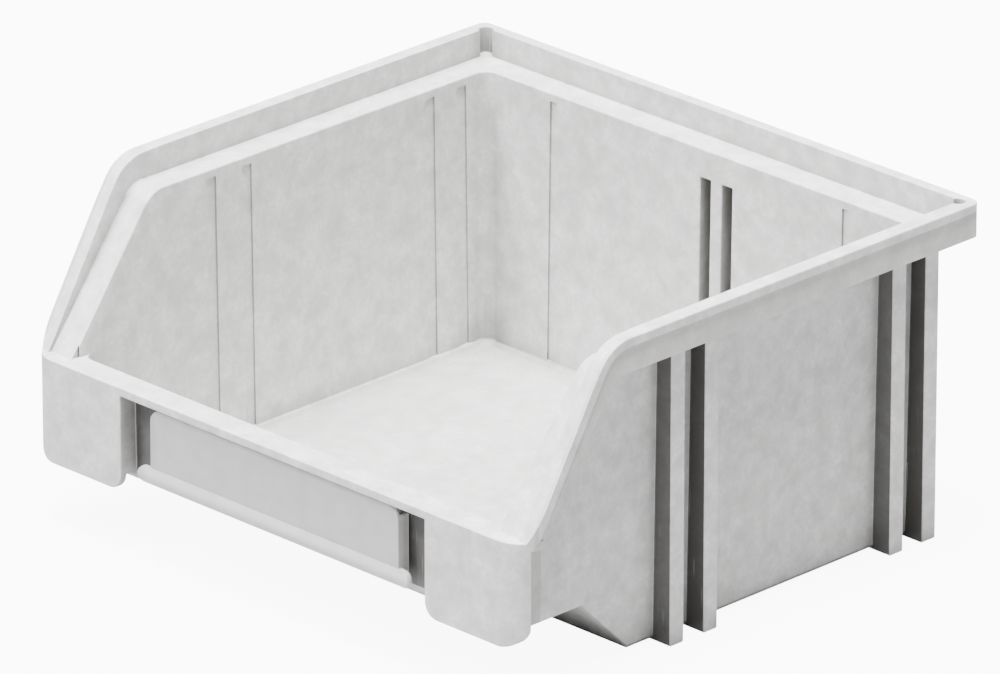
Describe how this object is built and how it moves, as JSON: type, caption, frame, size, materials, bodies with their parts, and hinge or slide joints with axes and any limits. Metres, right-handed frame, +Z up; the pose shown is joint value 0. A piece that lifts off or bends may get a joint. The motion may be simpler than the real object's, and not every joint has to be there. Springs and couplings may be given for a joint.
{
  "type": "open-front stacking storage bin",
  "caption": "Small open-front stacking bin with an L-section rim, side fins for stacking and a front skirt carrying a blank card behind a clear slide-on cover.",
  "frame": {"origin": "middle of the width and depth over the rim, on the plane the base and the fins stand on", "axes": "+X to the bin's right seen from the front, +Y from the open front to the back wall, +Z up"},
  "size_m": [0.102, 0.094, 0.052],
  "materials": {
    "grey_polypropylene": "fine grained",
    "card": "uncoated card",
    "clear_plastic": "clear"
  },
  "bodies": {
    "bin": {"bin_shell": "grey_polypropylene"},
    "label": {"label_cover": "clear_plastic", "label_card": "card"}
  },
  "joints": [
    {"name": "label_slide", "type": "slide", "parent": "bin", "child": "label", "axis": [0, 0, -1], "range_m": [0, 0.0095]}
  ]
}
